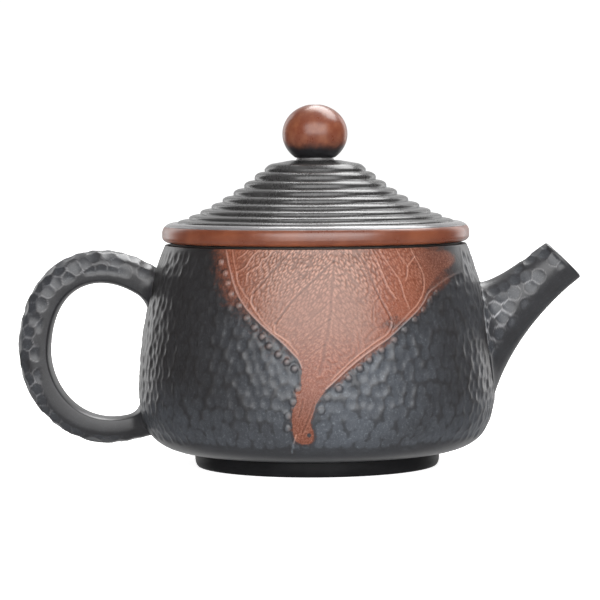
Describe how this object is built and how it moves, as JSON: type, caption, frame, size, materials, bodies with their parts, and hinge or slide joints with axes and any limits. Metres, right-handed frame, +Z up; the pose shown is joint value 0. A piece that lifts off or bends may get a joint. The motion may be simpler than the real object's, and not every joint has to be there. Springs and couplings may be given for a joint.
{
  "type": "clay teapot",
  "caption": "Round hammered clay teapot with a stepped cone lid, ball knob, loop handle and short straight spout; the lid lifts off.",
  "frame": {"origin": "on the pot's vertical axis, in the plane that the foot ring stands on", "axes": "+Z up along the pot's axis, +X along the spout, -X along the handle"},
  "size_m": [0.1507, 0.0954, 0.0962],
  "materials": {
    "pot_clay": "satin hammered",
    "inner_clay": "matte",
    "foot_clay": "satin",
    "lid_clay": "satin",
    "brown_clay": "satin",
    "knob_clay": "polished"
  },
  "bodies": {
    "pot": {"base_disc": "pot_clay", "body_wall": "pot_clay", "top_disc": "inner_clay", "mouth_ring": "inner_clay", "foot_ring": "foot_clay", "spout": "pot_clay", "strainer": "inner_clay", "handle": "pot_clay"},
    "lid": {"lid_plate": "lid_clay", "lid_rim": "brown_clay", "lid_flange": "lid_clay", "knob_collar": "lid_clay", "knob": "knob_clay"}
  },
  "joints": [
    {"name": "lid_lift", "type": "slide", "parent": "pot", "child": "lid", "axis": [0, 0, 1], "range_m": [0, 0.09]}
  ]
}
